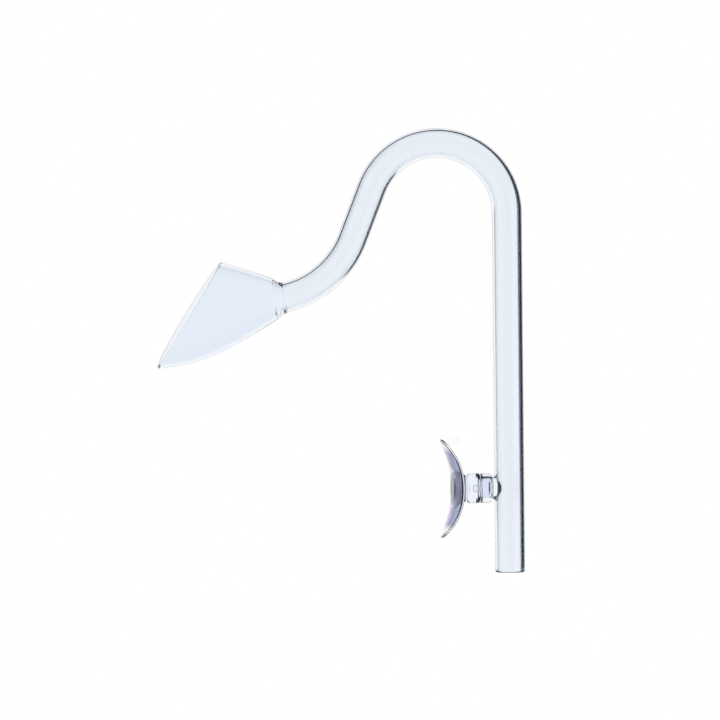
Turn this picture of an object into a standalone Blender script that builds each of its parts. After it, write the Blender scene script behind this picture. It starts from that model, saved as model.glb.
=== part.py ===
"""Clear glass aquarium outflow pipe with a lily bell and one suction cup.

The pipe lies in the XZ plane. The origin is the centre of the suction cup's flat front face, +X runs
from the tank wall to the hose leg, and +Z is up. All sizes are in metres, all angles in degrees.
"""
import bmesh
import bpy
from math import cos, pi, radians, sin, sqrt
from mathutils import Matrix, Vector

GAP = 0.0003              # room left between neighbouring pieces
FINE_MERGE = 0.00001      # merge distance, far below the smallest detail

TUBE_RADIUS = 0.0065      # 13 mm glass tube
TUBE_WALL = 0.00115
TUBE_SIDES = 24
FIRE_POLISH = 0.0003      # rounding of a melted tube end

LEG_X = 0.025             # hose leg's axis
LEG_BOTTOM = -0.0367
ARCH_BASE = 0.1195        # height where the leg ends and the arch begins
ARCH_RADIUS = 0.0305
ARCH_SWEEP = 158.7
DROP_LENGTH = 0.0233      # straight stretch after the arch
SWAN_RADIUS = 0.0412      # the reverse bend that leads to the bell
SWAN_SWEEP = 62.4
COLLAR_SWEEP = 6.6        # the last part of that bend, which the collar covers
STEP_ANGLE = 7.0          # longest step along a bend

COLLAR_RADIUS = 0.0074    # at the tube; it widens to the bell's neck
COLLAR_WALL = 0.0019

BELL_NECK = 0.0089        # bell's outer radius at the collar
BELL_RADIUS = 0.0241      # bell's largest outer radius
BELL_RISE = 0.049         # distance from the neck to the largest radius
BELL_LENGTH = 0.060       # before the mouth is cut
BELL_WALL = 0.0015
BELL_SIDES = 48
BELL_STEPS = 14
MOUTH_TOP = Vector((-0.1002, 0, 0.0986))
MOUTH_BOTTOM = Vector((-0.1272, 0, 0.0547))
MOUTH_BULGE = 0.0005      # how far the middle of the mouth stands out
MOUTH_SIDES = 360         # sides of the large cylinder that cuts the mouth
CUTTER_LENGTH = 0.1       # longer than anything that it cuts

SOCKET_MOUTH = 0.0123     # X where the socket opens
SOCKET_END = 0.0175
SOCKET_BORE = 0.0044
SOCKET_FLOOR = 0.0168
SOCKET_CORNER = 0.0016    # rounding of the closed end
SOCKET_LIP = 0.0003       # rounding of the open end
WELD_RADIUS = 0.0054
ROUND_SIDES = 32          # sides of the small round pieces

CUP_RADIUS = 0.0214
CUP_FLAT = 0.0073         # radius of the flat front face
CUP_DISH = 0.0050         # how far the rim stands in front of the flat face
CUP_FLEX = 0.0077         # how far the two sides of the rim are bent back
FLEX_POWER = 2.3          # how quickly the bend grows from the top of the rim to its sides
CUP_SIDES = 48
LIP_START = 0.0202        # radius where the disc's front turns into its rounded rim
SKIRT_START = 0.0080      # radius where the thin disc leaves the hub
SKIRT_ROOT = 0.0023       # its thickness there, along X
SKIRT_EDGE = 0.0012       # and at the rim
HUB_BACK = 0.0057         # radius of the hub where it meets the ring
DISH_STEPS = 5
STEM_RADIUS = 0.0041
STEM_TIP = 0.0164
STEM_START = 0.0118       # X where the stem leaves the ring
TAB_CENTRE = (0.0, 0, 0.0204)
TAB_HALF_LENGTH = 0.0040
TAB_HALF_WIDTH = 0.0018
TAB_THICKNESS = 0.0009
TAB_TILT = 15
VENT_RADIUS = 0.0010
VENT_X = 0.01075
VENT_Z = -0.0003


def heading(angle):
    """Unit vector in the XZ plane, the angle counted from +X towards +Z."""
    return Vector((cos(radians(angle)), 0, sin(radians(angle))))


def arc(centre, radius, start, end):
    """Points along an arc in the XZ plane, both ends included."""
    steps = max(4, int(abs(end - start) / STEP_ANGLE) + 1)
    return [centre + radius * heading(start + (end - start) * i / steps) for i in range(steps + 1)]


def pipe_route():
    """Centre line from the hose end to the collar, then the collar's centre line."""
    foot = Vector((LEG_X, 0, LEG_BOTTOM))
    arch_centre = Vector((LEG_X - ARCH_RADIUS, 0, ARCH_BASE))
    rise = arc(arch_centre, ARCH_RADIUS, 0, 90)
    fall = arc(arch_centre, ARCH_RADIUS, 90, ARCH_SWEEP)
    drop_end = fall[-1] + DROP_LENGTH * heading(ARCH_SWEEP + 90)
    swan_centre = drop_end + SWAN_RADIUS * heading(ARCH_SWEEP)
    start = ARCH_SWEEP + 180
    end = start - SWAN_SWEEP
    gap_angle = GAP / SWAN_RADIUS * 180 / pi
    swan = arc(swan_centre, SWAN_RADIUS, start, end + COLLAR_SWEEP + gap_angle)
    last_tangent = heading(end + COLLAR_SWEEP + gap_angle - 90)
    stub = swan[-1] - last_tangent * FIRE_POLISH
    pipe = [foot] + rise + fall[1:] + swan[:-1] + [stub, swan[-1]]
    collar = arc(swan_centre, SWAN_RADIUS, end + COLLAR_SWEEP, end)
    return pipe, collar, heading(end - 90)


def link(obj, collection):
    for other in list(obj.users_collection):
        other.objects.unlink(obj)
    collection.objects.link(obj)
    return obj


def material(name, colour, roughness):
    mat = bpy.data.materials.new(name)
    mat.use_nodes = True
    shader = mat.node_tree.nodes["Principled BSDF"]
    shader.inputs["Base Color"].default_value = (*colour, 1)
    shader.inputs["Roughness"].default_value = roughness
    shader.inputs["Metallic"].default_value = 0
    shader.inputs["Transmission Weight"].default_value = 1
    mat.diffuse_color = (*colour, 1)
    return mat


def baked(obj):
    """The object as a plain mesh, with its curve or modifiers worked in and doubles welded."""
    depsgraph = bpy.context.evaluated_depsgraph_get()
    mesh = bpy.data.meshes.new_from_object(obj.evaluated_get(depsgraph))
    shape = bmesh.new()
    shape.from_mesh(mesh)
    bmesh.ops.remove_doubles(shape, verts=shape.verts, dist=FINE_MERGE)
    shape.to_mesh(mesh)
    shape.free()
    solid = bpy.data.objects.new(obj.name, mesh)
    solid.matrix_world = obj.matrix_world.copy()
    bpy.context.scene.collection.objects.link(solid)
    name = obj.name
    bpy.data.objects.remove(obj)
    solid.name = name
    return solid


def blown_tube(name, points, radii, wall, sides):
    """A glass tube of changing radius along points, as a swept skin with its wall inside."""
    curve = bpy.data.curves.new(name, "CURVE")
    curve.dimensions = "3D"
    curve.bevel_depth = 1
    curve.bevel_resolution = sides // 2 - 2
    spline = curve.splines.new("POLY")
    spline.points.add(len(points) - 1)
    for knot, point, radius in zip(spline.points, points, radii):
        knot.co = (*point, 1)
        knot.radius = radius
    obj = bpy.data.objects.new(name, curve)
    bpy.context.scene.collection.objects.link(obj)
    skin = baked(obj)
    shell = skin.modifiers.new("wall", "SOLIDIFY")
    shell.thickness = wall
    shell.offset = -1
    shell.use_even_offset = True
    return skin


def turned(name, profile, sides):
    """A solid of revolution about X from (x, radius) points, in order along the outside."""
    mesh = bpy.data.meshes.new(name)
    corners = [(radius, 0, x) for x, radius in profile]
    mesh.from_pydata(corners, [(i, i + 1) for i in range(len(corners) - 1)], [])
    obj = bpy.data.objects.new(name, mesh)
    bpy.context.scene.collection.objects.link(obj)
    screw = obj.modifiers.new("turn", "SCREW")
    screw.axis = "Z"
    screw.steps = screw.render_steps = sides
    screw.use_merge_vertices = True
    screw.merge_threshold = FINE_MERGE
    solid = baked(obj)
    solid.data.transform(Matrix.Rotation(pi / 2, 4, "Y"))
    return solid


def cylinder(name, radius, centre, axis, sides, cutters):
    """A long cylinder for cutting, along the given axis."""
    bpy.ops.mesh.primitive_cylinder_add(vertices=sides, radius=radius, depth=CUTTER_LENGTH,
                                        location=centre)
    tool = link(bpy.context.object, cutters)
    tool.name = name
    tool.rotation_mode = "QUATERNION"
    tool.rotation_quaternion = Vector((0, 0, 1)).rotation_difference(axis)
    tool.hide_render = True
    tool.display_type = "WIRE"
    return tool


def boolean(obj, tool, operation):
    change = obj.modifiers.new(tool.name, "BOOLEAN")
    change.operation = operation
    change.solver = "EXACT"
    change.object = tool


def polish(obj, width, limit):
    """Rounds every edge that is sharper than the limit."""
    bevel = obj.modifiers.new("fire polish", "BEVEL")
    bevel.width = width
    bevel.segments = 2
    bevel.limit_method = "ANGLE"
    bevel.angle_limit = radians(limit)
    bevel.use_clamp_overlap = True


def smooth(obj):
    obj.data.shade_smooth()
    obj.data.set_sharp_from_angle(angle=radians(35))


def bent_pipe(route):
    pipe = blown_tube("bent_pipe", route, [TUBE_RADIUS] * len(route), TUBE_WALL, TUBE_SIDES)
    polish(pipe, FIRE_POLISH, 50)
    return pipe


def weld_collar(route):
    """Widens from the tube to the bell's neck, faster towards the bell."""
    steps = len(route) - 1
    radii = [COLLAR_RADIUS + (BELL_NECK - COLLAR_RADIUS) * (i / steps) ** 2 for i in range(steps + 1)]
    return blown_tube("weld_collar", route, radii, COLLAR_WALL, TUBE_SIDES)


def bell_radius(distance):
    """A quarter sine wave from the neck to the largest radius."""
    return BELL_NECK + (BELL_RADIUS - BELL_NECK) * sin(pi / 2 * distance / BELL_RISE)


def lily_bell(neck, along, cutters):
    distances = [GAP + (BELL_LENGTH - GAP) * i / BELL_STEPS for i in range(BELL_STEPS + 1)]
    points = [neck + along * distance for distance in distances]
    radii = [bell_radius(distance) for distance in distances]
    bell = blown_tube("lily_bell", points, radii, BELL_WALL, BELL_SIDES)
    chord = MOUTH_TOP - MOUTH_BOTTOM
    outward = Vector((-chord.z, 0, chord.x)).normalized()
    cut_radius = (chord.length / 2) ** 2 / (2 * MOUTH_BULGE)
    centre = (MOUTH_TOP + MOUTH_BOTTOM) / 2 + outward * (MOUTH_BULGE - cut_radius)
    mouth = cylinder("mouth_form", cut_radius, centre, Vector((0, 1, 0)), MOUTH_SIDES, cutters)
    boolean(bell, mouth, "INTERSECT")
    return bell


def cup_socket():
    """Glass cup, open towards -X, with a rounded closed end."""
    round_end = [(SOCKET_END + SOCKET_CORNER * (cos(a) - 1), TUBE_RADIUS + SOCKET_CORNER * (sin(a) - 1))
                 for a in (0, pi / 8, pi / 4, pi * 3 / 8, pi / 2)]
    profile = [(SOCKET_END, 0)] + round_end
    profile += [(SOCKET_MOUTH + SOCKET_LIP, TUBE_RADIUS), (SOCKET_MOUTH, TUBE_RADIUS - SOCKET_LIP)]
    profile += [(SOCKET_MOUTH, SOCKET_BORE + SOCKET_LIP), (SOCKET_MOUTH + SOCKET_LIP, SOCKET_BORE)]
    profile += [(SOCKET_FLOOR, SOCKET_BORE), (SOCKET_FLOOR, 0)]
    return turned("cup_socket", profile, ROUND_SIDES)


def socket_weld(cutters):
    """Glass bead between the socket's end and the leg, hollowed to the leg's round side."""
    start = SOCKET_END + GAP
    side = LEG_X - sqrt(TUBE_RADIUS ** 2 - WELD_RADIUS ** 2)
    bpy.ops.mesh.primitive_cylinder_add(vertices=ROUND_SIDES, radius=WELD_RADIUS, depth=side - start,
                                        location=((start + side) / 2, 0, 0), rotation=(0, pi / 2, 0))
    weld = bpy.context.object
    weld.name = "socket_weld"
    saddle = cylinder("saddle_form", TUBE_RADIUS + GAP, (LEG_X, 0, 0), Vector((0, 0, 1)),
                      2 * ROUND_SIDES, cutters)
    boolean(weld, saddle, "DIFFERENCE")
    return weld


def flex(cup):
    """Bends the two sides of the disc back, from nothing at its flat face to CUP_FLEX at its rim."""
    for vert in cup.data.vertices:
        out = sqrt(vert.co.y ** 2 + vert.co.z ** 2)
        reach = min((out - CUP_FLAT) / (CUP_RADIUS - CUP_FLAT), 1)
        if reach > 0:
            vert.co.x += CUP_FLEX * reach * (1 - abs(vert.co.z / out) ** FLEX_POWER)


def disc_front(radius):
    """X of the disc's front cone before it is bent: 0 at the flat face, -CUP_DISH at the rim."""
    return -CUP_DISH * (radius - CUP_FLAT) / (LIP_START - CUP_FLAT)


def suction_cup(cutters):
    """One soft moulding: stem, ring, solid hub, thin bent disc with a rounded rim, and a pull tab."""
    back = [(STEM_TIP, 0), (STEM_TIP, 0.0036), (0.0159, STEM_RADIUS), (STEM_START, STEM_RADIUS),
            (STEM_START, 0.0062), (0.0115, TUBE_RADIUS), (0.0072, TUBE_RADIUS), (0.0066, 0.0062),
            (0.0062, HUB_BACK), (0.0030, 0.0071)]
    steps = [i / DISH_STEPS for i in range(DISH_STEPS + 1)]
    for step in steps:
        radius = SKIRT_START + (LIP_START - SKIRT_START) * step
        back.append((disc_front(radius) + SKIRT_ROOT + (SKIRT_EDGE - SKIRT_ROOT) * step, radius))
    back += [(-0.0042, 0.0211), (-0.0046, CUP_RADIUS), (-CUP_DISH, CUP_RADIUS - 0.0004)]
    dish = [(-CUP_DISH * step, CUP_FLAT + (LIP_START - CUP_FLAT) * step) for step in reversed(steps)]
    cup = turned("suction_cup", back + dish + [(0, 0)], CUP_SIDES)
    flex(cup)
    boolean(cup, pull_tab(cutters), "UNION")
    vent = cylinder("vent_form", VENT_RADIUS, (VENT_X, 0, VENT_Z), Vector((0, 1, 0)), 16, cutters)
    boolean(cup, vent, "DIFFERENCE")
    return cup


def pull_tab(cutters):
    """A thin oval ear that stands behind the top of the rim."""
    bpy.ops.mesh.primitive_cylinder_add(vertices=24, radius=1, depth=TAB_THICKNESS,
                                        location=TAB_CENTRE, rotation=(pi / 2, 0, 0))
    tab = link(bpy.context.object, cutters)
    tab.name = "tab_form"
    oval = Matrix.Diagonal((TAB_HALF_LENGTH, TAB_HALF_WIDTH, 1, 1))
    tab.data.transform(Matrix.Rotation(radians(TAB_TILT), 4, "Z") @ oval)
    tab.hide_render = True
    tab.display_type = "WIRE"
    return tab


def build():
    for obj in list(bpy.data.objects):
        bpy.data.objects.remove(obj)
    parts = bpy.data.collections.new("lily_pipe")
    cutters = bpy.data.collections.new("cutters")
    for collection in (parts, cutters):
        bpy.context.scene.collection.children.link(collection)
    glass = (0.86, 0.91, 0.96)
    pipe_points, collar_points, along = pipe_route()
    looks = [(bent_pipe(pipe_points), "pipe_glass", glass, 0.02),
             (weld_collar(collar_points), "collar_glass", (0.78, 0.84, 0.92), 0.03),
             (lily_bell(collar_points[-1], along, cutters), "bell_glass", glass, 0.02),
             (cup_socket(), "socket_glass", (0.84, 0.88, 0.95), 0.03),
             (socket_weld(cutters), "weld_glass", (0.70, 0.76, 0.85), 0.03),
             (suction_cup(cutters), "soft_clear_plastic", (0.62, 0.60, 0.76), 0.12)]
    for obj, name, colour, roughness in looks:
        link(obj, parts)
        obj.data.materials.clear()
        obj.data.materials.append(material(name, colour, roughness))
        smooth(obj)


build()
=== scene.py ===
import bpy
import numpy as np
from mathutils import Matrix, Vector


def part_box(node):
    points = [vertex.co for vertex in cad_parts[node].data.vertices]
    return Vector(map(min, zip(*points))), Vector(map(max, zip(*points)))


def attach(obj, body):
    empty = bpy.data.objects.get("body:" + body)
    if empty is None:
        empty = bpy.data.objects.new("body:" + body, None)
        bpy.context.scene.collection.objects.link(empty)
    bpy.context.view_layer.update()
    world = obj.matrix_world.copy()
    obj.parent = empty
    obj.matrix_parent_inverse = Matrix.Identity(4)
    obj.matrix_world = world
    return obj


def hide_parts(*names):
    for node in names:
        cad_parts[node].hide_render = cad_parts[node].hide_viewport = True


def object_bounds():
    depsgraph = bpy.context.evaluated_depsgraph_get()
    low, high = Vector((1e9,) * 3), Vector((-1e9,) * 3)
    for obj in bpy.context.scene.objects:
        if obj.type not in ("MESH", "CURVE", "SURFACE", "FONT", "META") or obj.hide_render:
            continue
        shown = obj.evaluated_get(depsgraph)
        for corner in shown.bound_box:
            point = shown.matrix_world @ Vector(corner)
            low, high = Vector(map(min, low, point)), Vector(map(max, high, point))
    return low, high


# Clear glass lily pipe for an aquarium filter, with its suction cup.
# Everything is in metres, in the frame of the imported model: the pipe lies in the XZ plane,
# the suction cup's flat face is at the origin and +Z is up.

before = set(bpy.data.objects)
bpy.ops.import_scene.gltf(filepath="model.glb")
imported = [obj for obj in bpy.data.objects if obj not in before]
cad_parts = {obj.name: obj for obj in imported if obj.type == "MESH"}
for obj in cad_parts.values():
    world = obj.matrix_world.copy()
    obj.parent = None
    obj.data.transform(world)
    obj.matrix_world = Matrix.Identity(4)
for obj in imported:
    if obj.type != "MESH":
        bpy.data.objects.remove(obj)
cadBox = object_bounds()
print("frame loaded:", ", ".join(sorted(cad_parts)))

yAxis = np.array([0.0, 1.0, 0.0])
sharpAngle = 40.0             # degrees; edges that turn more than this stay crisp


# ---- mesh tools

def smoothStep(x):
    # 3x^2 - 2x^3 between 0 and 1, flat outside
    x = np.clip(x, 0, 1)
    return x * x * (3 - 2 * x)


def putMesh(name, points, closeRings=False, poles=False, fused=None, fusedFans=(False, False)):
    # points is a grid (rings, sides, 3); every ring is closed on itself.
    # closeRings joins the last ring to the first; poles closes both ends with a fan round their middle.
    # fused holds each face's material slot: 0 for its own, 1 where it is melted onto a neighbour,
    # 2 on a polished rim. fusedFans says the same of the two end fans.
    rings, sides = points.shape[:2]
    flat = points.reshape(-1, 3)
    rows = rings if closeRings else rings - 1
    i = np.arange(rows)[:, None]
    j = np.arange(sides)[None, :]
    nextI = (i + 1) % rings
    nextJ = (j + 1) % sides
    quads = np.stack([i * sides + j, nextI * sides + j, nextI * sides + nextJ, i * sides + nextJ], -1)
    quads = quads.reshape(-1, 4)
    slots = np.zeros((rows, sides), int) if fused is None else fused[:rows].astype(int)
    slots = slots.ravel()
    fans = np.zeros((0, 3), int)
    if poles:
        flat = np.vstack([flat, points[0].mean(0), points[-1].mean(0)])
        start, end = rings * sides, rings * sides + 1
        k = np.arange(sides)
        kNext = (k + 1) % sides
        last = (rings - 1) * sides
        first = np.stack([np.full(sides, start), k, kNext], -1)
        final = np.stack([np.full(sides, end), last + kNext, last + k], -1)
        fans = np.vstack([first, final])
        slots = np.concatenate([slots, np.repeat(np.array(fusedFans, int), sides)])
    # six times the enclosed volume, whose sign says which way the faces look
    a, b, c, d = (flat[quads[:, n]] for n in range(4))
    volume = (np.cross(a, b) * c).sum() + (np.cross(a, c) * d).sum()
    if poles:
        e, f, g = (flat[fans[:, n]] for n in range(3))
        volume += (np.cross(e, f) * g).sum()
    if volume < 0:
        quads, fans = quads[:, ::-1], fans[:, ::-1]
    loops = np.concatenate([quads.ravel(), fans.ravel()])
    sizes = np.concatenate([np.full(len(quads), 4), np.full(len(fans), 3)])
    mesh = bpy.data.meshes.new(name)
    mesh.vertices.add(len(flat))
    mesh.vertices.foreach_set("co", flat.ravel())
    mesh.loops.add(len(loops))
    mesh.loops.foreach_set("vertex_index", loops)
    mesh.polygons.add(len(sizes))
    mesh.polygons.foreach_set("loop_start", np.concatenate([[0], np.cumsum(sizes)[:-1]]))
    mesh.polygons.foreach_set("material_index", slots)
    mesh.update(calc_edges=True)
    mesh.validate()
    mesh.shade_smooth()
    mesh.set_sharp_from_angle(angle=np.radians(sharpAngle))
    obj = bpy.data.objects.new(name, mesh)
    bpy.context.scene.collection.objects.link(obj)
    return obj


def ringsAlong(centres, tangents, radii, sides):
    # circle of the given radius about each centre, square to the path; the path lies in the XZ plane
    normals = np.cross(yAxis, tangents)
    angle = np.linspace(0, 2 * np.pi, sides, endpoint=False)[None, :, None]
    across = np.cos(angle) * normals[:, None, :] + np.sin(angle) * yAxis
    return centres[:, None, :] + np.asarray(radii)[:, None, None] * across


def lipRings(centre, outward, outer, inner, length, sides, steps):
    # half an ellipse turned round the path's end, from the outer wall over the rim to the bore
    turn = np.linspace(0, np.pi, steps + 1)[1:-1]
    centres = centre + outward * length * np.sin(turn)[:, None]
    radii = (outer + inner) / 2 + (outer - inner) / 2 * np.cos(turn)
    return ringsAlong(centres, np.repeat(outward[None], len(turn), 0), radii, sides)


def glassShell(name, centres, tangents, outer, inner, sides, startLip=0, endLip=0, lipSteps=10,
               meltedAt=None):
    # outer wall forward, rim, bore backward, rim: one closed skin with the wall's thickness in it.
    # An end without a lip is flat, and counts as melted onto the next piece; so is what meltedAt picks
    # from the middles of the outer wall's faces.
    wallOut = ringsAlong(centres, tangents, outer, sides)
    wallIn = ringsAlong(centres[::-1], tangents[::-1], inner[::-1], sides)
    endRim = lipRings(centres[-1], tangents[-1], outer[-1], inner[-1], endLip, sides, lipSteps)
    startRim = lipRings(centres[0], -tangents[0], outer[0], inner[0], startLip, sides, lipSteps)[::-1]
    # the start rim is turned the other way round, so its circles are mirrored back into step
    startRim = startRim[:, (-np.arange(sides) + sides // 2) % sides]
    points = np.concatenate([wallOut, endRim, wallIn, startRim])
    fused = np.zeros(points.shape[:2], bool)
    wall = len(centres)
    if endLip == 0:
        fused[wall - 1:wall - 1 + lipSteps] = True
    if startLip == 0:
        fused[2 * wall + lipSteps - 2:] = True
    if meltedAt is not None:
        middles = (wallOut[:-1] + wallOut[1:]) / 2
        fused[:wall - 1] = meltedAt((middles + np.roll(middles, -1, 1)) / 2)
    return putMesh(name, points, closeRings=True, fused=fused)


def turnedAboutX(x, radius, sides):
    # grid of a profile (x, radius) turned about the X axis
    centres = np.stack([x, 0 * x, 0 * x], -1)
    tangents = np.repeat([[1.0, 0.0, 0.0]], len(x), 0)
    return ringsAlong(centres, tangents, radius, sides)


def throughPoints(knots, perSpan):
    # smooth curve through the given points, a Catmull-Rom blend of each four neighbours
    knots = np.array(knots, float)
    ends = np.vstack([2 * knots[0] - knots[1], knots, 2 * knots[-1] - knots[-2]])
    t = np.linspace(0, 1, perSpan, endpoint=False)[None, :, None]
    a, b, c, d = (ends[n:len(ends) - 3 + n][:, None, :] for n in range(4))
    square = (2 * a - 5 * b + 4 * c - d) * t**2
    cube = (3 * b - a - 3 * c + d) * t**3
    curve = 0.5 * (2 * b + (c - a) * t + square + cube)
    return np.vstack([curve.reshape(-1, knots.shape[1]), knots[-1]])


# ---- the tube's route

pipeLow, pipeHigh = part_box("bent_pipe")

tube = {
    "radius": (pipeHigh.y - pipeLow.y) / 2,
    "wall": 0.00115,
    "legBottom": pipeLow.z,
    "archRadius": 0.0305,     # bend of the hook at the tube's middle
    "archSweep": 158.7,       # degrees
    "dropLength": 0.0233,     # straight stretch after the hook
    "swanRadius": 0.0412,     # reverse bend towards the bell
    "swanSweep": 62.4,
    "collarSweep": 6.6,       # its last part, inside the fused collar
    "ringSpacing": 0.0014,
    "fineSpacing": 0.00025,   # beside the socket's weld
    "fineReach": 1.2,         # how far that goes each way, in radii of the weld
    "sides": 120,
    "lip": 0.0014,            # how far the melted end is drawn in
    "seam": 0.00004,          # hairline between fused pieces
}
tube["legX"] = pipeHigh.x - tube["radius"]
tube["archBase"] = pipeHigh.z - tube["radius"] - tube["archRadius"]


def headingAt(degrees):
    # unit vector in the XZ plane, counted from +X towards +Z
    angle = np.radians(degrees)
    return np.stack([np.cos(angle), 0 * angle, np.sin(angle)], -1)


stretches = {
    "leg": tube["archBase"] - tube["legBottom"],
    "arch": tube["archRadius"] * np.radians(tube["archSweep"]),
    "drop": tube["dropLength"],
    "swan": tube["swanRadius"] * np.radians(tube["swanSweep"]),
}
routeLength = sum(stretches.values())
collarLength = tube["swanRadius"] * np.radians(tube["collarSweep"])


def routeAt(t):
    # point and direction after t metres: straight leg, left-hand arc, straight drop, right-hand arc
    t = np.asarray(t, float)
    onLeg = np.minimum(t, stretches["leg"])
    onArch = np.clip(t - stretches["leg"], 0, stretches["arch"])
    onDrop = np.clip(t - stretches["leg"] - stretches["arch"], 0, stretches["drop"])
    onSwan = np.maximum(t - stretches["leg"] - stretches["arch"] - stretches["drop"], 0)
    archTurn = np.degrees(onArch / tube["archRadius"])
    swanTurn = np.degrees(onSwan / tube["swanRadius"])
    foot = np.array([tube["legX"], 0, tube["legBottom"]])
    point = foot + onLeg[..., None] * np.array([0.0, 0.0, 1.0])
    point = point + tube["archRadius"] * (headingAt(archTurn) - headingAt(0 * archTurn))
    point = point + onDrop[..., None] * headingAt(90 + archTurn)
    start = tube["archSweep"]
    side = headingAt(start - 180 - swanTurn) - headingAt(start - 180 + 0 * swanTurn)
    point = point + tube["swanRadius"] * side
    return point, headingAt(90 + archTurn - swanTurn)


socketLow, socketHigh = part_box("cup_socket")

socket = {
    "mouth": socketLow.x,
    "end": socketHigh.x,
    "radius": (socketHigh.z - socketLow.z) / 2,
    "bore": 0.0044,
    "floor": 0.0168,
    "corner": 0.0017,
    "lip": 0.0005,
    "floorCorner": 0.0008,    # rounding at the bottom of the bore
    "discRings": 6,           # circles on the weld's three parts
    "flareRings": 18,
    "saddleRings": 16,
    "pole": 0.0004,           # radius of the smallest circle round the axis
    "cornerSteps": 14,
    "lipSteps": 8,
    "weldFoot": 0.0054,       # radius of the weld where it runs out on the tube
    "weldMargin": 0.0002,     # the tube's melted patch is this much smaller
    "sides": 120,
}


# ---- glass pieces

def makePipe():
    # circles of one radius along the route, closer together where the socket is melted on
    pipeEnd = routeLength - collarLength - tube["seam"]
    coarse = np.linspace(tube["lip"], pipeEnd, int(pipeEnd / tube["ringSpacing"]))
    half = socket["weldFoot"] * tube["fineReach"]
    fine = np.arange(-half, half, tube["fineSpacing"]) - tube["legBottom"]
    fromSocket = np.abs(coarse + tube["legBottom"])
    t = np.sort(np.concatenate([coarse[fromSocket > half + tube["fineSpacing"]], fine]))
    centres, tangents = routeAt(t)
    outer = np.full(len(t), tube["radius"])
    inner = outer - tube["wall"]

    def underWeld(middle):
        fromAxis = np.hypot(middle[..., 1], middle[..., 2])
        return (middle[..., 0] < tube["legX"]) & (fromAxis < socket["weldFoot"] - socket["weldMargin"])

    pipe = glassShell("bent_pipe_glass", centres, tangents, outer, inner, tube["sides"],
                      startLip=tube["lip"], meltedAt=underWeld)
    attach(pipe, "glass")
    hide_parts("bent_pipe")
    return pipe


bell = {
    "neck": 0.0089,           # outer radius where it leaves the collar
    "widest": 0.0241,
    "rise": 0.049,            # distance from the neck to the widest place
    "wall": 0.0015,
    "mouthTop": (-0.1002, 0.0986),
    "mouthBottom": (-0.1272, 0.0547),
    "mouthBulge": 0.0005,
    "lip": 0.0009,
    "rimSteps": 14,
    "searchFrom": 0.005,      # the mouth's cut lies between these distances from the neck
    "searchTo": 0.062,
    "halvings": 40,
    "steps": 90,
    "sides": 144,
}

collar = {
    "flare": 1.6,             # power of the widening from the tube to the bell
    "bead": 0.00010,          # swelling where the tube's end was melted in
    "beadAt": 0.16,
    "beadWidth": 0.10,
    "innerBead": 0.00005,
    "steps": 48,
}


def makeCollar():
    # the outside widens from the tube's radius to the bell's as a power of the way along, the inside
    # as a smooth step, and both have a bell-shaped bead near the tube
    t = np.linspace(0, 1, collar["steps"])
    centres, tangents = routeAt(routeLength - collarLength + t * (collarLength - tube["seam"]))
    bead = np.exp(-((t - collar["beadAt"]) / collar["beadWidth"])**2)
    bead = bead - np.exp(-(collar["beadAt"] / collar["beadWidth"])**2)
    widening = (bell["neck"] - tube["radius"]) * t**collar["flare"]
    outer = tube["radius"] + widening + collar["bead"] * bead
    inner = tube["radius"] - tube["wall"]
    inner = inner + (bellInner(0) - inner) * smoothStep(t) - collar["innerBead"] * bead
    weld = glassShell("weld_collar_glass", centres, tangents, outer, inner, tube["sides"])
    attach(weld, "glass")
    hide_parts("weld_collar")
    return weld


def bellRadius(s):
    # quarter of a sine wave from the neck to the widest place
    return bell["neck"] + (bell["widest"] - bell["neck"]) * np.sin(np.pi / 2 * s / bell["rise"])


def bellInner(s):
    # the wall is measured square to the slope, so along the radius it is longer
    steepest = np.pi / 2 / bell["rise"] * (bell["widest"] - bell["neck"])
    slope = steepest * np.cos(np.pi / 2 * s / bell["rise"])
    return bellRadius(s) - bell["wall"] * np.sqrt(1 + slope**2)


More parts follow.
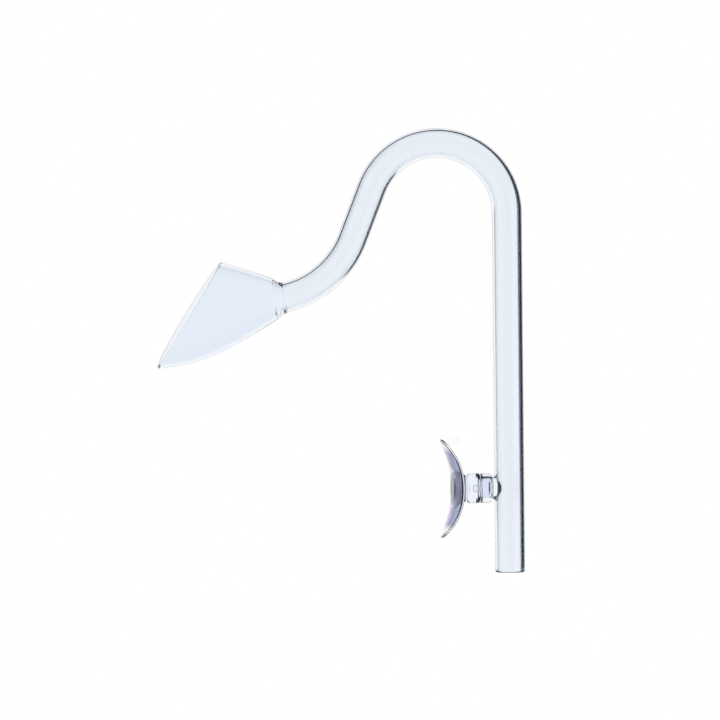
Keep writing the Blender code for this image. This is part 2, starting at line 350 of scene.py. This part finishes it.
def makeBell():
    # the sine profile turned round the neck's direction, cut by a large cylinder that lies along Y
    neck, along = routeAt(routeLength)
    top = np.array([bell["mouthTop"][0], 0, bell["mouthTop"][1]])
    bottom = np.array([bell["mouthBottom"][0], 0, bell["mouthBottom"][1]])
    chord = top - bottom
    half = np.linalg.norm(chord) / 2
    outward = np.array([-chord[2], 0, chord[0]]) / (2 * half)
    cutRadius = half**2 / (2 * bell["mouthBulge"])
    cutCentre = (top + bottom) / 2 + outward * (bell["mouthBulge"] - cutRadius)

    angle = np.linspace(0, 2 * np.pi, bell["sides"], endpoint=False)
    across = np.cos(angle)[:, None] * np.cross(yAxis, along) + np.sin(angle)[:, None] * yAxis

    def surface(s, radius):
        return neck + s[..., None] * along + radius[..., None] * across

    def endAt(radiusOf, back):
        # halving finds, on each line along the bell, the place where it meets the mouth's cut
        low, high = np.full(bell["sides"], bell["searchFrom"]), np.full(bell["sides"], bell["searchTo"])
        for step in range(bell["halvings"]):
            middle = (low + high) / 2
            where = surface(middle, radiusOf(middle)) - cutCentre
            beyond = np.hypot(where[:, 0], where[:, 2]) > cutRadius - back
            high = np.where(beyond, middle, high)
            low = np.where(beyond, low, middle)
        return middle

    u = np.linspace(0, 1, bell["steps"])[:, None]
    sOut = tube["seam"] + (endAt(bellRadius, bell["lip"]) - tube["seam"]) * u
    sIn = tube["seam"] + (endAt(bellInner, bell["lip"]) - tube["seam"]) * u
    wallOut = surface(sOut, bellRadius(sOut))
    wallIn = surface(sIn, bellInner(sIn))[::-1]
    turn = np.linspace(0, np.pi, bell["rimSteps"])[1:-1, None, None]
    middle, reach = (wallOut[-1] + wallIn[0]) / 2, (wallOut[-1] - wallIn[0]) / 2
    rim = middle + reach * np.cos(turn) + outward * bell["lip"] * np.sin(turn)
    rings = np.concatenate([wallOut, rim, wallIn])
    fused = np.zeros(rings.shape[:2], int)
    fused[-1] = 1             # its neck, melted onto the collar
    fused[len(wallOut) - 1:len(wallOut) + len(rim)] = 2
    shell = putMesh("lily_bell_glass", rings, closeRings=True, fused=fused)
    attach(shell, "glass")
    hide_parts("lily_bell")
    return shell


def roundCorner(cx, cr, radius, start, end, steps):
    # points on a circle in the (x, radius) plane, angles in degrees
    angle = np.radians(np.linspace(start, end, steps))
    return np.stack([cx + radius * np.cos(angle), cr + radius * np.sin(angle)], -1)


def makeSocket():
    # a cup turned about X: back, outside, rounded mouth, bore and its floor
    r, lip, corner, inside = (socket[k] for k in ("radius", "lip", "corner", "floorCorner"))
    steps = socket["lipSteps"]
    profile = np.vstack([
        [[socket["end"], socket["pole"]]],
        roundCorner(socket["end"] - corner, r - corner, corner, 0, 90, socket["cornerSteps"]),
        roundCorner(socket["mouth"] + lip, r - lip, lip, 90, 180, steps),
        roundCorner(socket["mouth"] + lip, socket["bore"] + lip, lip, 180, 270, steps),
        roundCorner(socket["floor"] - inside, socket["bore"] - inside, inside, 90, 0, steps),
        [[socket["floor"], socket["pole"]]],
    ])
    points = turnedAboutX(profile[:, 0], profile[:, 1], socket["sides"])
    fused = np.zeros(points.shape[:2], bool)
    fused[0] = True           # its flat back, melted onto the weld
    glassCup = putMesh("cup_socket_glass", points, poles=True, fused=fused, fusedFans=(True, False))
    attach(glassCup, "glass")
    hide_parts("cup_socket")
    return glassCup


def makeWeld():
    # flat disc at the socket, a hollow flare, then the tube's own roundness back to the middle
    angle = np.linspace(0, 2 * np.pi, socket["sides"], endpoint=False)
    start = socket["end"] + tube["seam"]
    tubeSkin = tube["radius"] + tube["seam"]
    back = socket["radius"] - socket["corner"]

    def grid(radius, share):
        # share 0 lies on the socket's back, 1 on the tube
        onTube = tube["legX"] - np.sqrt(tubeSkin**2 - (radius[:, None] * np.sin(angle))**2)
        x = start + (onTube - start) * share[:, None]
        return np.stack([x, radius[:, None] * np.sin(angle), radius[:, None] * np.cos(angle)], -1)

    disc = np.linspace(socket["pole"], back, socket["discRings"])
    u = np.linspace(0, 1, socket["flareRings"])[1:]
    flare = back + (socket["weldFoot"] - back) * u**2
    saddle = np.linspace(socket["weldFoot"], socket["pole"], socket["saddleRings"])[1:]
    flareShare = np.sin(u * np.pi / 2)
    points = np.concatenate([grid(disc, 0 * disc), grid(flare, flareShare), grid(saddle, saddle * 0 + 1)])
    fused = np.zeros(points.shape[:2], bool)
    fused[:len(disc) - 1] = True
    fused[len(disc) + len(flare) - 1:] = True
    weld = putMesh("socket_weld_glass", points, poles=True, fused=fused, fusedFans=(True, True))
    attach(weld, "glass")
    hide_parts("socket_weld")
    return weld


# ---- suction cup

cup = {
    "radius": 0.0214,
    "flat": 0.0073,           # radius of the flat face
    "dish": 0.0050,           # how far the rim stands in front of it
    "lipStart": 0.0206,       # where the front turns into the rounded rim
    "skirtStart": 0.0080,     # the thin disc: where it leaves the hub, and how thick it is there
    "skirtRoot": 0.0009,
    "skirtEdge": 0.0006,      # and at the rim
    "flex": 0.0077,           # how far the sides are bent back
    "flexPower": 2.3,
    "stem": 0.0041,
    "ring": 0.0065,
    "ringStart": 0.0074,
    "ringEnd": 0.0118,
    "ringCorners": (0.0004, 0.0005),
    "beadAllowance": 0.0004,  # what the rim's rounding leaves of its width
    "skirtOverlap": 0.0012,   # the thin disc takes over from the hub this far out
    "skirtRings": 30,
    "stemSide": (0.0159, 0.0145),  # between these the curve lies on the stem's radius
    # (x, radius) of the stem's tip, the hub's side and the flat face
    "tipCurve": [(0.0164, 0.0003), (0.0164, 0.0034)],
    "hubCurve": [(0.0066, 0.0060), (0.0062, 0.0057), (0.0045, 0.0063), (0.0030, 0.0070),
                 (0.0021, 0.0078)],
    "faceCurve": [(-0.0002, 0.0078), (-0.00002, 0.0071), (0, 0.0062), (0, 0.0040), (0, 0.0003)],
    "sharpAngle": 50.0,
    "sides": 192,
    "ventRadius": 0.0010,
    "ventAt": (0.01075, -0.0003),
    "tabAt": (0.0, 0.0204),
    "tabHalf": (0.0038, 0.0017),
    "tabHalfThickness": 0.00045,
    "tabTilt": 15.0,
    "tabRoundness": 0.35,     # below 0.5 the ear's edge is squarer than an ellipse
    "tabRings": 26,
    "tabSides": 64,
    "drillReach": 1.2,        # half the cross hole's cutter, in radii of the ring
    "drillRings": 9,
    "drillSides": 48,
}


def cupProfile():
    # (x, radius) from the stem's tip over the ring, hub and thin disc to the flat face
    tip = throughPoints(cup["tipCurve"] + [(x, cup["stem"]) for x in cup["stemSide"]], 5)
    inner, outer = cup["ringCorners"]
    ring = np.vstack([
        [[cup["ringEnd"], cup["stem"]]],
        roundCorner(cup["ringEnd"] - outer, cup["ring"] - outer, outer, 0, 90, 10),
        roundCorner(cup["ringStart"], cup["ring"] - inner, inner, 90, 165, 6),
    ])
    hub = throughPoints(cup["hubCurve"], 6)
    radius = np.linspace(cup["skirtStart"] + cup["skirtOverlap"], cup["lipStart"], cup["skirtRings"])
    part = (radius - cup["skirtStart"]) / (cup["lipStart"] - cup["skirtStart"])
    front = -cup["dish"] * (radius - cup["flat"]) / (cup["lipStart"] - cup["flat"])
    thickness = cup["skirtRoot"] + (cup["skirtEdge"] - cup["skirtRoot"]) * part
    back = np.stack([front + thickness, radius], -1)
    bead = cup["radius"] - cup["lipStart"] - cup["beadAllowance"]
    rim = roundCorner(-cup["dish"] + bead, cup["radius"] - bead, bead, 60, 215, 14)
    dish = np.stack([front, radius], -1)[::-1]
    face = throughPoints(cup["faceCurve"], 4)
    return np.vstack([tip, ring, hub, back, rim, dish, face])


def flexed(place):
    # nothing moves inside the flat face; beyond it the sides swing back, the top and bottom stay
    out = np.hypot(place[:, 1], place[:, 2])
    reach = np.clip((out - cup["flat"]) / (cup["radius"] - cup["flat"]), 0, 1)
    upright = np.abs(place[:, 2] / np.maximum(out, 1e-6))
    bent = place.copy()
    bent[:, 0] += cup["flex"] * reach * (1 - upright**cup["flexPower"])
    return bent


def acrossY(x, z, y, radius, sides):
    # grid of circles that face Y, one for each y, about the line through x and z
    turn = np.linspace(0, 2 * np.pi, sides, endpoint=False)
    wide, high = radius[:, None] * np.cos(turn), radius[:, None] * np.sin(turn)
    return np.stack([x + wide, np.broadcast_to(y[:, None], wide.shape), z + high], -1)


def combined(body, tool, operation):
    # joins the tool to the body or cuts it out, and leaves a plain mesh
    change = body.modifiers.new(operation, "BOOLEAN")
    change.operation, change.solver, change.object = operation, "EXACT", tool
    whole = bpy.data.meshes.new_from_object(body.evaluated_get(bpy.context.evaluated_depsgraph_get()))
    body.modifiers.remove(change)
    body.data = whole
    bpy.data.objects.remove(tool)


def makeTab():
    # a thin oval ear tilted in the XZ plane: its outline shrinks to a point at each side
    # as a low power of the sine
    turn = np.linspace(0, np.pi, cup["tabRings"])[1:-1]
    grid = acrossY(0, 0, np.cos(turn) * cup["tabHalfThickness"], np.sin(turn)**cup["tabRoundness"],
                   cup["tabSides"])
    tilt = np.radians(cup["tabTilt"])
    along, over = grid[..., 0] * cup["tabHalf"][0], grid[..., 2] * cup["tabHalf"][1]
    x = cup["tabAt"][0] + along * np.cos(tilt) - over * np.sin(tilt)
    z = cup["tabAt"][1] + along * np.sin(tilt) + over * np.cos(tilt)
    return putMesh("tab", np.stack([x, grid[..., 1], z], -1), poles=True)


def makeCup():
    # the profile turned about X and bent, with the ear added and the cross hole cut along Y
    profile = cupProfile()
    points = turnedAboutX(profile[:, 0], profile[:, 1], cup["sides"])
    body = putMesh("suction_cup_body", points, poles=True)
    flat = np.empty(len(body.data.vertices) * 3)
    body.data.vertices.foreach_get("co", flat)
    body.data.vertices.foreach_set("co", flexed(flat.reshape(-1, 3)).ravel())
    body.data.update()
    combined(body, makeTab(), "UNION")
    reach = np.linspace(-cup["drillReach"], cup["drillReach"], cup["drillRings"]) * cup["ring"]
    drill = acrossY(*cup["ventAt"], reach, np.full(len(reach), cup["ventRadius"]), cup["drillSides"])
    combined(body, putMesh("drill", drill, poles=True), "DIFFERENCE")
    body.data.shade_smooth()
    body.data.set_sharp_from_angle(angle=np.radians(cup["sharpAngle"]))
    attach(body, "cup")
    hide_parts("suction_cup")
    return body


# ---- materials

def newMaterial(name):
    mat = bpy.data.materials.new(name)
    mat.use_nodes = True
    return mat, mat.node_tree.nodes, mat.node_tree.links, mat.node_tree.nodes["Principled BSDF"]


def addNode(nodes, kind, settings=(), **sockets):
    node = nodes.new(kind)
    for key, value in settings:
        setattr(node, key, value)
    for key, value in sockets.items():
        node.inputs[key].default_value = value
    return node


glass = {
    "tint": (0.915, 0.943, 0.980),     # what is left of white light after one wall
    "edge": (0.20, 0.26, 0.38),        # painted shade: dark colour where the wall is seen along its length, at the silhouette
    "edgeFrom": 0.62,
    "edgeTo": 0.98,
    "ior": 1.50,
    "blownTint": (0.885, 0.920, 0.972),
    "blownPaintedEdgeShade": (0.78, 0.84, 0.92),   # painted shade, lighter: the blown bell and its collar bend light less
    "blownIor": 1.12,
    "paintedSlitShade": (0.004, 0.004, 0.008),     # painted shade: the narrow gap between socket and cup, painted near black where it is seen from its side
    "slitShadeSlant": (0.14, 0.26),
    "slitShadeDepth": (0.0007, 0.0004),     # from the socket's mouth
    "rippleScale": 35.0,
    "rippleStrength": 0.02,
    "rippleDepth": 0.0004,
}


def facingBand(nodes, links, low, high):
    # 0 where the surface faces the viewer, 1 where it is seen along its length
    facing = addNode(nodes, "ShaderNodeLayerWeight", Blend=0.5)
    band = addNode(nodes, "ShaderNodeMapRange", [("interpolation_type", "SMOOTHSTEP")])
    band.inputs["From Min"].default_value = low
    band.inputs["From Max"].default_value = high
    links.new(facing.outputs["Facing"], band.inputs["Value"])
    return band.outputs["Result"]


def axisBand(nodes, links, value, low, high):
    # 0 up to low, 1 from high on, smooth between; low may be the larger
    band = addNode(nodes, "ShaderNodeMapRange", [("interpolation_type", "SMOOTHSTEP")])
    band.inputs["From Min"].default_value = low
    band.inputs["From Max"].default_value = high
    links.new(value, band.inputs["Value"])
    return band.outputs["Result"]


def product(nodes, links, first, second):
    times = addNode(nodes, "ShaderNodeMath", [("operation", "MULTIPLY")])
    links.new(first, times.inputs[0])
    links.new(second, times.inputs[1])
    return times.outputs["Value"]


def blend(nodes, links, share, first, second):
    # first and second are either a colour or another node's output
    mix = addNode(nodes, "ShaderNodeMix", [("data_type", "RGBA")])
    links.new(share, mix.inputs["Factor"])
    for socketName, colour in (("A", first), ("B", second)):
        if isinstance(colour, tuple):
            mix.inputs[socketName].default_value = (*colour, 1)
        else:
            links.new(colour, mix.inputs[socketName])
    return mix.outputs["Result"]


def glassMaterial(name, tint, edge, ior, slitShadeAt=None):
    # clear glass with painted shade: colour darkens towards the silhouette, and faint drawn ripples bend
    # the view
    mat, nodes, links, shader = newMaterial(name)
    shader.inputs["Transmission Weight"].default_value = 1
    shader.inputs["IOR"].default_value = ior
    shader.inputs["Roughness"].default_value = 0.0
    where = nodes.new("ShaderNodeTexCoord")
    # painted shade along the silhouette, where the wall is seen along its length
    edgeShadeMask = facingBand(nodes, links, glass["edgeFrom"], glass["edgeTo"])
    colour = blend(nodes, links, edgeShadeMask, tint, edge)
    # painted shade: the slit at the socket's mouth is painted near black where it is seen side-on
    if slitShadeAt is not None:
        split = nodes.new("ShaderNodeSeparateXYZ")
        links.new(where.outputs["Object"], split.inputs["Vector"])
        paintedSlitShade = product(nodes, links, axisBand(nodes, links, split.outputs["X"], *slitShadeAt),
                       facingBand(nodes, links, *glass["slitShadeSlant"]))
        colour = blend(nodes, links, paintedSlitShade, colour, glass["paintedSlitShade"])
    links.new(colour, shader.inputs["Base Color"])
    ripple = addNode(nodes, "ShaderNodeTexNoise", Scale=glass["rippleScale"], Detail=0.0)
    bump = addNode(nodes, "ShaderNodeBump", Strength=glass["rippleStrength"], Distance=glass["rippleDepth"])
    links.new(where.outputs["Object"], ripple.inputs["Vector"])
    links.new(ripple.outputs["Fac"], bump.inputs["Height"])
    links.new(bump.outputs["Normal"], shader.inputs["Normal"])
    return mat


def fusedMaterial(name):
    # where two glass pieces are melted together light goes straight on
    mat, nodes, links, shader = newMaterial(name)
    shader.inputs["Base Color"].default_value = (1, 1, 1, 1)
    shader.inputs["Transmission Weight"].default_value = 1
    shader.inputs["IOR"].default_value = 1.0
    shader.inputs["Roughness"].default_value = 0.0
    return mat


rimLook = {
    "colour": (0.93, 0.96, 0.99),
    "transmission": 0.88,
    "roughness": 0.08,
    "ior": 1.10,
}


def rimMaterial(name):
    # the fire-polished rim of the mouth scatters a little light
    mat, nodes, links, shader = newMaterial(name)
    shader.inputs["Base Color"].default_value = (*rimLook["colour"], 1)
    shader.inputs["Transmission Weight"].default_value = rimLook["transmission"]
    shader.inputs["IOR"].default_value = rimLook["ior"]
    shader.inputs["Roughness"].default_value = rimLook["roughness"]
    return mat


soft = {
    "ior": 1.17,
    # painted shade and highlight by how it is seen: from square on (0) to along its length (1), dark
    # violet, then a painted pink highlight at the silhouette
    "facingShadeAndHighlight": [(0.30, (0.88, 0.87, 0.95)), (0.60, (0.20, 0.24, 0.46)), (0.76, (0.18, 0.21, 0.43)),
             (0.86, (0.80, 0.52, 0.78))],
    "ring": (0.88, 0.93, 1.0),       # behind the disc it is nearly clear
    "ringFrom": (0.0050, 0.0060),
    "tips": (0.96, 0.97, 0.99),      # the top and bottom of the rim, and the tab
    "tipsAt": (0.0150, 0.0180),
    "hub": (0.10, 0.10, 0.21),       # painted shade on the solid middle, the darkest colour
    "hubShadeRadius": (0.0078, 0.0068),
    "hubShadeEnd": (0.0060, 0.0050),
    "slitShadeAt": (0.0106, 0.0109),
    "slitShadeRadius": (0.0043, 0.0047),  # outside the stem
    "vent": (0.10, 0.12, 0.20),      # painted shade on the cross hole's wall
    "ventAt": (0.0013, 0.0010),
    "absorbs": (0.50, 0.45, 0.80),
    "density": 6.0,
}


def plasticMaterial(name):
    # clear soft plastic, violet through its thickness, with painted shade where it is seen along its length
    # and on the hub, and a painted pink highlight at the silhouette; clear at the rim's tips and the ring
    mat, nodes, links, shader = newMaterial(name)
    shader.inputs["Transmission Weight"].default_value = 1
    shader.inputs["IOR"].default_value = soft["ior"]
    shader.inputs["Roughness"].default_value = 0.0
    where = nodes.new("ShaderNodeTexCoord")
    split = nodes.new("ShaderNodeSeparateXYZ")
    links.new(where.outputs["Object"], split.inputs["Vector"])
    facingShadeRamp = nodes.new("ShaderNodeValToRGB")
    stops = facingShadeRamp.color_ramp.elements
    while len(stops) < len(soft["facingShadeAndHighlight"]):
        stops.new(0.5)
    for stop, (slant, colour) in zip(stops, soft["facingShadeAndHighlight"]):
        stop.position = slant
        stop.color = (*colour, 1)
    # painted shade and a painted pink highlight, by how squarely the surface is seen
    facing = addNode(nodes, "ShaderNodeLayerWeight", Blend=0.5)
    links.new(facing.outputs["Facing"], facingShadeRamp.inputs["Fac"])
    height = addNode(nodes, "ShaderNodeMath", [("operation", "ABSOLUTE")])
    links.new(split.outputs["Z"], height.inputs[0])
    atTips = axisBand(nodes, links, height.outputs["Value"], *soft["tipsAt"])
    across = nodes.new("ShaderNodeCombineXYZ")
    links.new(split.outputs["Y"], across.inputs["Y"])
    links.new(split.outputs["Z"], across.inputs["Z"])
    radius = addNode(nodes, "ShaderNodeVectorMath", [("operation", "LENGTH")])
    links.new(across.outputs["Vector"], radius.inputs[0])
    # painted shade: the hub is painted darkest
    inHubShade = product(nodes, links, axisBand(nodes, links, radius.outputs["Value"], *soft["hubShadeRadius"]),
                    axisBand(nodes, links, split.outputs["X"], *soft["hubShadeEnd"]))
    # painted shade: the slit beside the stem is painted near black where it is seen side-on
    paintedSlitShade = product(nodes, links, axisBand(nodes, links, split.outputs["X"], *soft["slitShadeAt"]),
                   facingBand(nodes, links, *glass["slitShadeSlant"]))
    paintedSlitShade = product(nodes, links, paintedSlitShade, axisBand(nodes, links, radius.outputs["Value"], *soft["slitShadeRadius"]))
    colour = blend(nodes, links, atTips, facingShadeRamp.outputs["Color"], soft["tips"])
    inRing = axisBand(nodes, links, split.outputs["X"], *soft["ringFrom"])
    colour = blend(nodes, links, inRing, colour, soft["ring"])
    colour = blend(nodes, links, inHubShade, colour, soft["hub"])
    colour = blend(nodes, links, paintedSlitShade, colour, glass["paintedSlitShade"])
    # painted shade: the cross hole's wall is painted dark
    fromVent = addNode(nodes, "ShaderNodeVectorMath", [("operation", "SUBTRACT")])
    fromVent.inputs[1].default_value = (cup["ventAt"][0], 0, cup["ventAt"][1])
    links.new(where.outputs["Object"], fromVent.inputs[0])
    flattened = addNode(nodes, "ShaderNodeVectorMath", [("operation", "MULTIPLY")])
    flattened.inputs[1].default_value = (1, 0, 1)
    links.new(fromVent.outputs["Vector"], flattened.inputs[0])
    ventRadius = addNode(nodes, "ShaderNodeVectorMath", [("operation", "LENGTH")])
    links.new(flattened.outputs["Vector"], ventRadius.inputs[0])
    atVentShade = axisBand(nodes, links, ventRadius.outputs["Value"], *soft["ventAt"])
    colour = blend(nodes, links, atVentShade, colour, soft["vent"])
    links.new(colour, shader.inputs["Base Color"])
    body = nodes.new("ShaderNodeVolumeAbsorption")
    body.inputs["Color"].default_value = (*soft["absorbs"], 1)
    body.inputs["Density"].default_value = soft["density"]
    links.new(body.outputs["Volume"], nodes["Material Output"].inputs["Volume"])
    return mat


# ---- floor, light and camera

studio = {
    "floorDrop": 0.16,        # the floor is this far under the hose end
    "floorHalf": 3.0,
    "cameraAzimuth": -5.2,    # degrees round the object, to its left
    "cameraRoll": 0.54,
    "floorCells": 4,
    "cameraDistance": 2.6,
    "lens": 300.0,
    "frameWidth": 0.312,      # what the frame spans at the object
    "aimRight": 0.0086,       # the aim stands a little right of and under the object's middle
    "aimUp": -0.0037,
}


def makeFloor():
    # a square grid under the object
    half, cells = studio["floorHalf"], studio["floorCells"]
    side = cells + 1
    u = np.linspace(-half, half, side)
    x, y = np.meshgrid(u, u, indexing="ij")
    z = np.full_like(x, cadBox[0].z - studio["floorDrop"])
    points = np.stack([x, y, z], -1).reshape(-1, 3)
    i, j = np.meshgrid(np.arange(cells), np.arange(cells), indexing="ij")
    corner = i * side + j
    quads = np.stack([corner, corner + side, corner + side + 1, corner + 1], -1).reshape(-1, 4)
    mesh = bpy.data.meshes.new("floor")
    mesh.from_pydata(points.tolist(), [], quads.tolist())
    floor = bpy.data.objects.new("floor", mesh)
    bpy.context.scene.collection.objects.link(floor)
    mat, nodes, links, shader = newMaterial("pale_floor")
    shader.inputs["Base Color"].default_value = (0, 0, 0, 1)
    shader.inputs["Specular IOR Level"].default_value = 0.0
    shader.inputs["Emission Color"].default_value = (1, 1, 1, 1)
    shader.inputs["Emission Strength"].default_value = 1.0
    mesh.materials.append(mat)
    floor.visible_transmission = False
    return floor


# What glass and gloss can see: a dark room with soft white openings, each a round patch
# (azimuth and elevation of its middle, radius, all in degrees, then brightness).
openings = {
    "behind": (0, 0, 21, 1.0),
    "behindHigh": (-2, 15, 26, 1.0),
    "behindLow": (6, -14, 20, 1.0),
    "lowLeft": (-24, -12, 23, 1.0),
    "below": (-15, -55, 50, 1.0),
    "left": (-90, -3, 27, 1.0),
    "leftDown": (-45, -25, 22, 1.0),
    "frontRight": (135, -15, 26, 1.0),
    "front": (180, 0, 88, 0.65),
}

room = {
    "dark": (0.010, 0.022, 0.045),
    "softEdge": 3.0,          # degrees over which an opening fades, each way
}


def makeWorld():
    # camera rays see plain white; refracted and reflected rays see the dark room and its openings
    world = bpy.data.worlds.new("studio")
    world.use_nodes = True
    bpy.context.scene.world = world
    nodes, links = world.node_tree.nodes, world.node_tree.links
    background = nodes["Background"]
    where = nodes.new("ShaderNodeTexCoord")
    brightest = None
    for azimuth, elevation, radius, brightness in openings.values():
        a, e = np.radians(azimuth), np.radians(elevation)
        dot = addNode(nodes, "ShaderNodeVectorMath", [("operation", "DOT_PRODUCT")])
        dot.inputs[1].default_value = (np.sin(a) * np.cos(e), np.cos(a) * np.cos(e), np.sin(e))
        links.new(where.outputs["Generated"], dot.inputs[0])
        patch = addNode(nodes, "ShaderNodeMapRange", [("interpolation_type", "SMOOTHSTEP")])
        patch.inputs["From Min"].default_value = np.cos(np.radians(radius + room["softEdge"]))
        patch.inputs["From Max"].default_value = np.cos(np.radians(radius - room["softEdge"]))
        patch.inputs["To Max"].default_value = brightness
        links.new(dot.outputs["Value"], patch.inputs["Value"])
        if brightest is None:
            brightest = patch.outputs["Result"]
            continue
        more = addNode(nodes, "ShaderNodeMath", [("operation", "MAXIMUM")])
        links.new(brightest, more.inputs[0])
        links.new(patch.outputs["Result"], more.inputs[1])
        brightest = more.outputs["Value"]
    view = addNode(nodes, "ShaderNodeMix", [("data_type", "RGBA")])
    view.inputs["A"].default_value = (*room["dark"], 1)
    view.inputs["B"].default_value = (1, 1, 1, 1)
    links.new(brightest, view.inputs["Factor"])
    path = nodes.new("ShaderNodeLightPath")
    plain = addNode(nodes, "ShaderNodeMix", [("data_type", "RGBA")])
    plain.inputs["B"].default_value = (1, 1, 1, 1)
    links.new(path.outputs["Is Camera Ray"], plain.inputs["Factor"])
    links.new(view.outputs["Result"], plain.inputs["A"])
    links.new(plain.outputs["Result"], background.inputs["Color"])


def makeCamera():
    data = bpy.data.cameras.new("camera")
    data.lens = studio["lens"]
    data.sensor_width = studio["lens"] * studio["frameWidth"] / studio["cameraDistance"]
    data.clip_start, data.clip_end = 0.01, 50
    camera = bpy.data.objects.new("camera", data)
    bpy.context.scene.collection.objects.link(camera)
    azimuth, roll = np.radians(studio["cameraAzimuth"]), np.radians(studio["cameraRoll"])
    level = Vector((np.cos(azimuth), np.sin(azimuth), 0))
    up = Vector((0, 0, 1))
    back = level.cross(up)
    right = level * np.cos(roll) - up * np.sin(roll)
    upward = level * np.sin(roll) + up * np.cos(roll)
    middle = (cadBox[0] + cadBox[1]) / 2
    aim = middle + right * studio["aimRight"] + upward * studio["aimUp"]
    place = aim + back * studio["cameraDistance"]
    camera.matrix_world = Matrix((
        (right.x, upward.x, back.x, place.x),
        (right.y, upward.y, back.y, place.y),
        (right.z, upward.z, back.z, place.z),
        (0, 0, 0, 1)))
    bpy.context.scene.camera = camera


bpy.context.scene.view_settings.view_transform = "Standard"
makeFloor()
makeWorld()
makeCamera()
print("studio ready")

clear = glassMaterial("drawn_glass", glass["tint"], glass["edge"], glass["ior"])
blown = glassMaterial("blown_glass", glass["blownTint"], glass["blownPaintedEdgeShade"], glass["blownIor"])
collarGlass = glassMaterial("collar_glass", glass["tint"], glass["blownPaintedEdgeShade"], glass["ior"])
socketClear = glassMaterial("socket_glass", glass["tint"], glass["edge"], glass["ior"],
                            [socket["mouth"] + depth for depth in glass["slitShadeDepth"]])
fused = fusedMaterial("fused_joint")
polished = rimMaterial("polished_rim")
for make, looks in ((makePipe, [clear, fused]), (makeCollar, [collarGlass, fused]),
                    (makeBell, [blown, fused, polished]), (makeSocket, [socketClear, fused]),
                    (makeWeld, [clear, fused])):
    piece = make()
    for look in looks:
        piece.data.materials.append(look)
    print("made", piece.name, len(piece.data.polygons), "faces")
lilac = plasticMaterial("cup_soft")
piece = makeCup()
piece.data.materials.append(lilac)
print("made", piece.name, len(piece.data.polygons), "faces")
